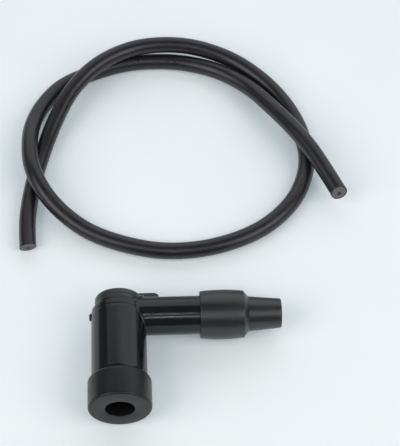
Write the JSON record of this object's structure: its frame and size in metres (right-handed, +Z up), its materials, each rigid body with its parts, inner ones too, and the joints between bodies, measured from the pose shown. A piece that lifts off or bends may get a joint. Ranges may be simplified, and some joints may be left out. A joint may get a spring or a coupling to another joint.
{
  "type": "spark plug wire",
  "caption": "Ignition lead in a loose loop with bare cut ends, and its elbow plug cap taken off and lying beside it, with a rubber plug seal and a tapered cable boot.",
  "frame": {"origin": "on the surface that the lead lies on, under the middle of the cable and cap together", "axes": "+Z up from that surface; +Y from the cap towards the cable's loop; +X along the cap's cable arm, towards its boot"},
  "size_m": [0.1375, 0.1857, 0.0253],
  "materials": {
    "cable_sheath": "smooth satin black sheath",
    "cable_insulation": "matte grey, cut across",
    "cable_core": "dark conductive fibre",
    "black_resin": "semi-gloss moulded black",
    "black_rubber": "matte moulded black rubber",
    "brass": "turned",
    "spring_steel": "bright drawn wire",
    "nickel_plate": "nickel plated, satin",
    "ceramic_rod": "matte off-white"
  },
  "bodies": {
    "root": {"cable_jacket": "cable_sheath", "cable_insulation": "cable_insulation", "cable_conductor": "cable_core", "cap_housing": "black_resin", "plug_seal": "black_rubber", "cable_boot": "black_rubber", "closing_gasket": "black_rubber", "closing_plug": "black_resin", "side_pin": "black_resin", "plug_contact": "brass", "contact_clip": "spring_steel", "resistor": "ceramic_rod", "resistor_cap_front": "nickel_plate", "resistor_cap_rear": "nickel_plate", "resistor_spring": "spring_steel", "cable_screw": "brass"}
  },
  "joints": []
}
